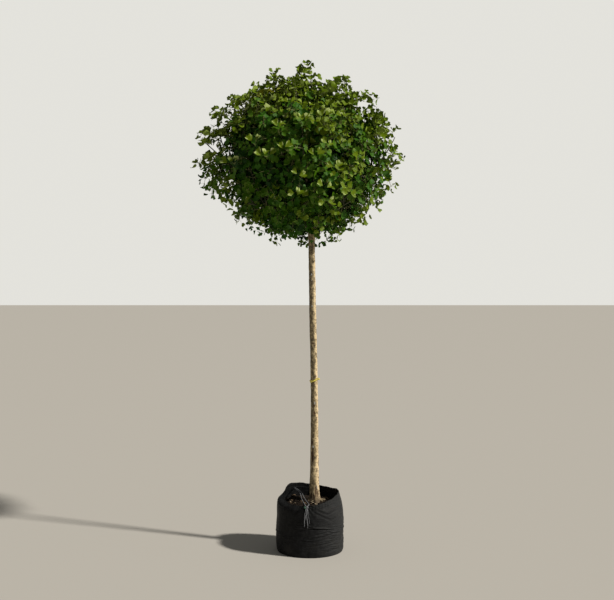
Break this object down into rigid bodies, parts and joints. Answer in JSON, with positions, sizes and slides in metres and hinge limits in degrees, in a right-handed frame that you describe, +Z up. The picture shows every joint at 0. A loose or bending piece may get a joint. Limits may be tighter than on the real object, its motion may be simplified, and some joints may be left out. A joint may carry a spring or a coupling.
{
  "type": "globe-headed sapling in planting bag",
  "caption": "Young standard tree with a clear straight stem and a dense round head of small fan-shaped leaves, standing in a round fabric planting bag of soil.",
  "frame": {"origin": "on the ground under the middle of the bag, in the plane of its flat underside", "axes": "+Z up along the stem, +X to the right and -Y towards the viewer when the side with the drawstring's knot faces the viewer"},
  "size_m": [1.3646, 1.2013, 2.9367],
  "materials": {
    "bag_fabric": "black woven polypropylene fabric, dull sheen, dusty in the creases",
    "soil": "moist dark compost and bark chips, matt",
    "cord": "grey-black braided drawstring, matt",
    "trunk_bark": "smooth young bark, cream to grey-olive, with darker cross bands and fine pores, matt",
    "bough_bark": "young bark, brown-grey, matt",
    "leaf": "fresh green to yellow-green fan leaves, slightly glossy",
    "twine": "yellow plastic twine, slightly glossy"
  },
  "bodies": {
    "root": {"root_bag": "bag_fabric", "root_ball_soil": "soil", "bag_drawstring": "cord", "trunk": "trunk_bark", "trunk_tie": "twine", "bough_low_1": "bough_bark", "bough_low_2": "bough_bark", "bough_low_3": "bough_bark", "bough_low_4": "bough_bark", "bough_mid_1": "bough_bark", "bough_mid_2": "bough_bark", "bough_mid_3": "bough_bark", "bough_mid_4": "bough_bark", "bough_mid_5": "bough_bark", "bough_high_1": "bough_bark", "bough_high_2": "bough_bark", "bough_high_3": "bough_bark", "bough_high_4": "bough_bark", "bough_top": "bough_bark", "foliage_low_1": "leaf", "foliage_low_2": "leaf", "foliage_low_3": "leaf", "foliage_low_4": "leaf", "foliage_mid_1": "leaf", "foliage_mid_2": "leaf", "foliage_mid_3": "leaf", "foliage_mid_4": "leaf", "foliage_mid_5": "leaf", "foliage_high_1": "leaf", "foliage_high_2": "leaf", "foliage_high_3": "leaf", "foliage_high_4": "leaf", "foliage_top": "leaf"}
  },
  "joints": []
}
